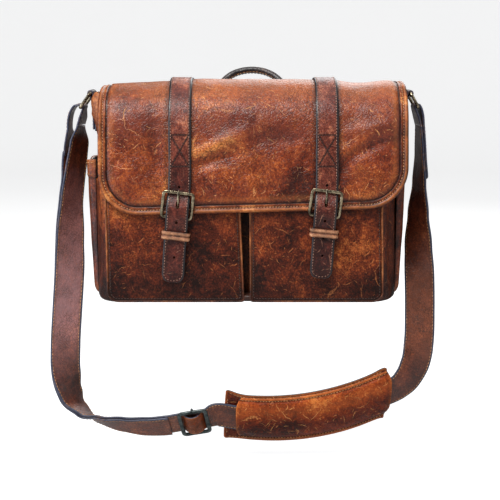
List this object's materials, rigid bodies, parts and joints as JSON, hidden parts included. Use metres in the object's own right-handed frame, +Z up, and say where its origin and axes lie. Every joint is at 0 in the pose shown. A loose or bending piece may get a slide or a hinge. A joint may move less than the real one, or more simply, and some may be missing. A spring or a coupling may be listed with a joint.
{
  "type": "satchel bag",
  "caption": "Distressed leather satchel with a folding flap on two buckled straps, two front pockets, side pockets, a rolled top handle and an adjustable shoulder strap with a sliding pad.",
  "frame": {"origin": "a point on the underside of the base panel, midway between the gussets and 28 mm behind the front panel", "axes": "+Z up, +X to the right seen from the front, the front (pockets and buckles) faces -Y"},
  "size_m": [0.4931, 0.1815, 0.4797],
  "materials": {
    "body_leather": "distressed pull-up leather, satin",
    "pocket_leather": "dark distressed leather, satin",
    "flap_leather": "distressed pull-up leather with pale scratches, satin",
    "dark_leather": "dark brown leather, satin",
    "tan_leather": "tan edge leather, satin",
    "flap_strap_leather": "dark brown strap leather with painted edges, satin",
    "shoulder_strap_leather": "brown strap leather with painted edges, satin",
    "pad_leather": "tan-brown distressed leather, satin",
    "pad_underside": "dark padded fabric",
    "lining_fabric": "woven cotton, matt",
    "antique_brass": "antiqued, half polished",
    "gunmetal": "blackened, half polished"
  },
  "bodies": {
    "bag": {"base_panel": "dark_leather", "back_panel": "body_leather", "front_panel": "body_leather", "gusset_left": "body_leather", "gusset_right": "body_leather", "padded_lining": "lining_fabric", "hinge_band": "body_leather", "front_pocket_panel_left": "pocket_leather", "front_pocket_panel_right": "pocket_leather", "front_pocket_gusset_left": "pocket_leather", "front_pocket_gusset_right": "pocket_leather", "side_pocket_left": "pocket_leather", "side_pocket_right": "pocket_leather", "ring_chape_left": "dark_leather", "ring_chape_right": "dark_leather", "handle_patch_left": "dark_leather", "handle_patch_right": "dark_leather", "clasp_catch_left": "antique_brass", "clasp_catch_right": "antique_brass"},
    "flap_top": {"flap_top_panel": "flap_leather", "flap_top_piping_left": "tan_leather", "flap_top_piping_right": "tan_leather", "strap_top_left": "flap_strap_leather", "strap_top_right": "flap_strap_leather"},
    "flap_front": {"flap_front_panel": "flap_leather", "flap_piping": "tan_leather", "strap_front_left": "flap_strap_leather", "buckle_tab_left": "flap_strap_leather", "keeper_left": "tan_leather", "clasp_tongue_left": "antique_brass", "strap_front_right": "flap_strap_leather", "buckle_tab_right": "flap_strap_leather", "keeper_right": "tan_leather", "clasp_tongue_right": "antique_brass"},
    "buckle_left": {"buckle_frame_left": "antique_brass"},
    "buckle_right": {"buckle_frame_right": "antique_brass"},
    "prong_left": {"buckle_prong_left": "antique_brass"},
    "prong_right": {"buckle_prong_right": "antique_brass"},
    "handle": {"handle": "dark_leather"},
    "ring_left": {"ring_left": "antique_brass"},
    "ring_right": {"ring_right": "antique_brass"},
    "shoulder_strap": {"shoulder_strap": "shoulder_strap_leather", "strap_return": "shoulder_strap_leather", "strap_loop_left": "shoulder_strap_leather", "strap_loop_right": "shoulder_strap_leather", "strap_end_right": "shoulder_strap_leather"},
    "pad": {"pad_base": "pad_leather", "pad_cushion": "pad_underside", "pad_cover": "pad_leather"},
    "slider": {"slider_frame": "gunmetal"}
  },
  "joints": [
    {"name": "flap_hinge", "type": "hinge", "parent": "bag", "child": "flap_top", "pos_m": [0, 0.0656, 0.2545], "axis": [-1, 0, 0], "range_deg": [0, 90]},
    {"name": "flap_fold", "type": "hinge", "parent": "flap_top", "child": "flap_front", "pos_m": [0, -0.04486, 0.25508], "axis": [-1, 0, 0], "range_deg": [0, 80]},
    {"name": "buckle_left_tilt", "type": "hinge", "parent": "flap_front", "child": "buckle_left", "pos_m": [-0.08392, -0.0706, 0.1065], "axis": [0.9914, 0, -0.1305], "range_deg": [0, 5]},
    {"name": "prong_left_tilt", "type": "hinge", "parent": "buckle_left", "child": "prong_left", "pos_m": [-0.08392, -0.0706, 0.1065], "axis": [0.9969, 0, -0.0785], "range_deg": [0, 3]},
    {"name": "buckle_right_tilt", "type": "hinge", "parent": "flap_front", "child": "buckle_right", "pos_m": [0.09483, -0.0706, 0.1085], "axis": [0.9917, 0, -0.1288], "range_deg": [0, 5]},
    {"name": "prong_right_tilt", "type": "hinge", "parent": "buckle_right", "child": "prong_right", "pos_m": [0.09483, -0.0706, 0.1085], "axis": [0.9982, 0, -0.0593], "range_deg": [0, 3]},
    {"name": "handle_fold", "type": "hinge", "parent": "bag", "child": "handle", "pos_m": [0.007, 0.0712, 0.239], "axis": [-1, 0, 0], "range_deg": [0, 85], "stiffness_Nm_per_rad": 0.05},
    {"name": "strap_swing", "type": "hinge", "parent": "bag", "child": "shoulder_strap", "pos_m": [0, 0.015, 0.2538], "axis": [-1, 0, 0], "range_deg": [-20, 180], "deforming": ["ring_chape_left", "ring_chape_right"]},
    {"name": "ring_left_swing", "type": "hinge", "parent": "shoulder_strap", "child": "ring_left", "pos_m": [-0.1945, 0.015, 0.2538], "axis": [0, 1, 0], "range_deg": [-10, 10], "deforming": ["strap_loop_left"]},
    {"name": "ring_right_swing", "type": "hinge", "parent": "shoulder_strap", "child": "ring_right", "pos_m": [0.2039, 0.015, 0.2538], "axis": [0, 1, 0], "range_deg": [-10, 10], "deforming": ["strap_loop_right"]},
    {"name": "pad_slide", "type": "hinge", "parent": "shoulder_strap", "child": "pad", "pos_m": [0.0255, -0.005, 0.1952], "axis": [0, 1, 0], "range_deg": [-1.2, 1.2]},
    {"name": "slider_slide", "type": "slide", "parent": "shoulder_strap", "child": "slider", "axis": [0.9864, 0, 0.1643], "range_m": [-0.009, 0.003]}
  ]
}
